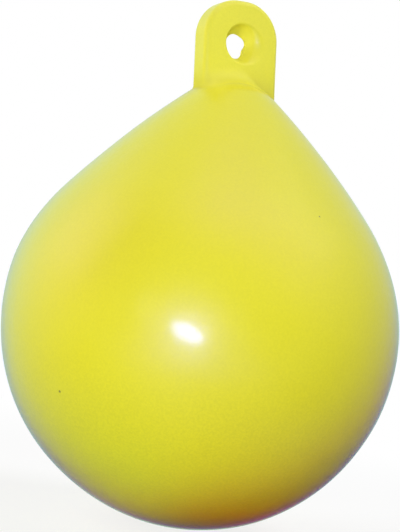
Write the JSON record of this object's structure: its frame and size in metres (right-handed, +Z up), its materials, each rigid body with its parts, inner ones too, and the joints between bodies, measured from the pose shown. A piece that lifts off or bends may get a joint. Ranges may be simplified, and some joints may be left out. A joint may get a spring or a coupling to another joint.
{
  "type": "marker float",
  "caption": "Pear-shaped hollow marker float of soft yellow plastic with a flat rope eye moulded on its crown and an air valve on the back.",
  "frame": {"origin": "on the float's axis of turning, in the still water surface of the empty float held eye up", "axes": "+Z up along the axis towards the rope eye, +X along the width of the eye, -Y the way the eye's front face looks, +Y the side with the air valve"},
  "size_m": [0.2, 0.2, 0.2692],
  "materials": {
    "float_plastic": "smooth moulded soft plastic with a light sheen",
    "eye_plastic": "smooth moulded soft plastic with a light sheen",
    "valve_plastic": "satin moulded plastic",
    "screw_plastic": "satin moulded plastic"
  },
  "bodies": {
    "root": {"float_shell": "float_plastic", "rope_eye": "eye_plastic", "valve_body": "valve_plastic", "valve_screw": "screw_plastic"}
  },
  "joints": []
}
